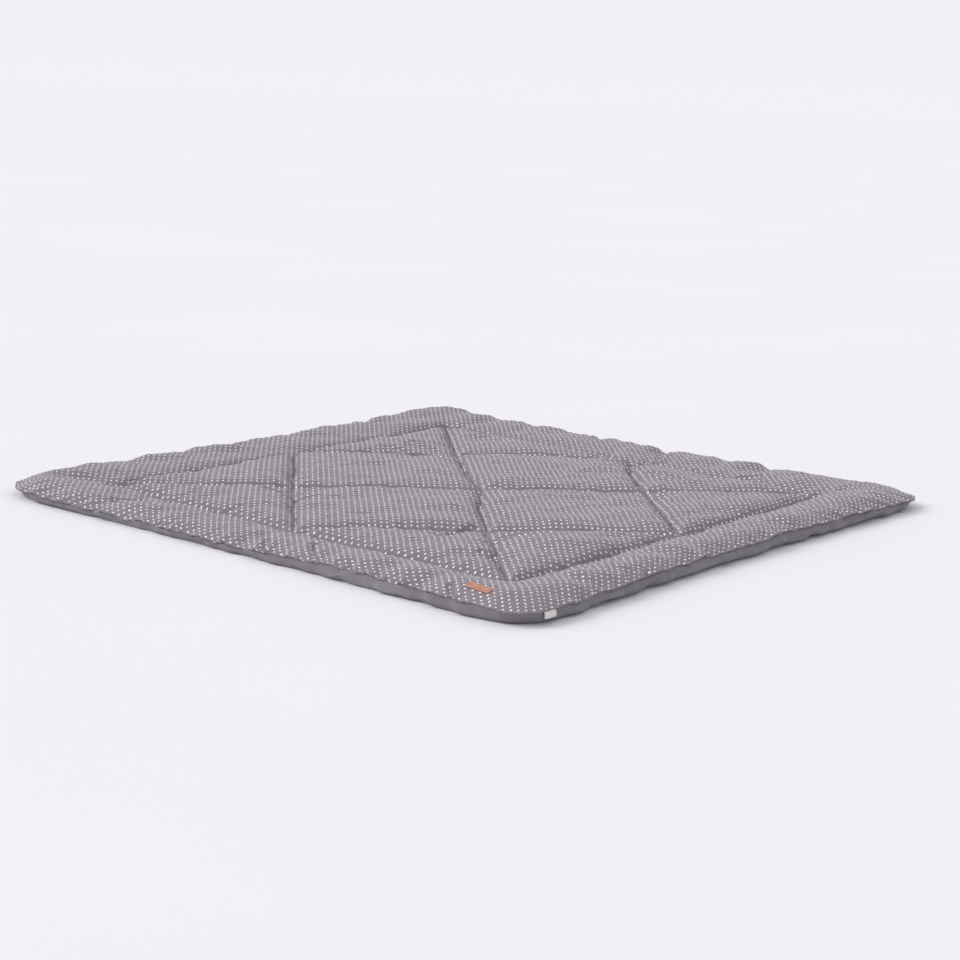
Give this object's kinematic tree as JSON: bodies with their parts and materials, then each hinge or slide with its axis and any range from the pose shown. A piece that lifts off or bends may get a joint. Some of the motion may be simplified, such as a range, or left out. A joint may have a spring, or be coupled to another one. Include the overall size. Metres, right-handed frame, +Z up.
{
  "type": "play mat",
  "caption": "Square quilted play mat for a baby: dotted cotton top with sewn diamond channels, plain cotton back, leather corner label and ribbon side tag.",
  "frame": {"origin": "middle of the mat's plan, on the floor under it", "axes": "+Z up; X and Y along the mat's edges, with the labelled corner at -X, -Y"},
  "size_m": [1.2, 1.2, 0.0361],
  "materials": {
    "printed_cotton": "matt woven cotton, printed with small white dots",
    "plain_cotton": "matt woven cotton, plain grey",
    "leather": "smooth tan leather, bare",
    "ribbon": "off-white satin ribbon, bare"
  },
  "bodies": {
    "root": {"top_panel": "printed_cotton", "back_panel": "plain_cotton", "leather_label": "leather", "ribbon_tag": "ribbon"}
  },
  "joints": []
}
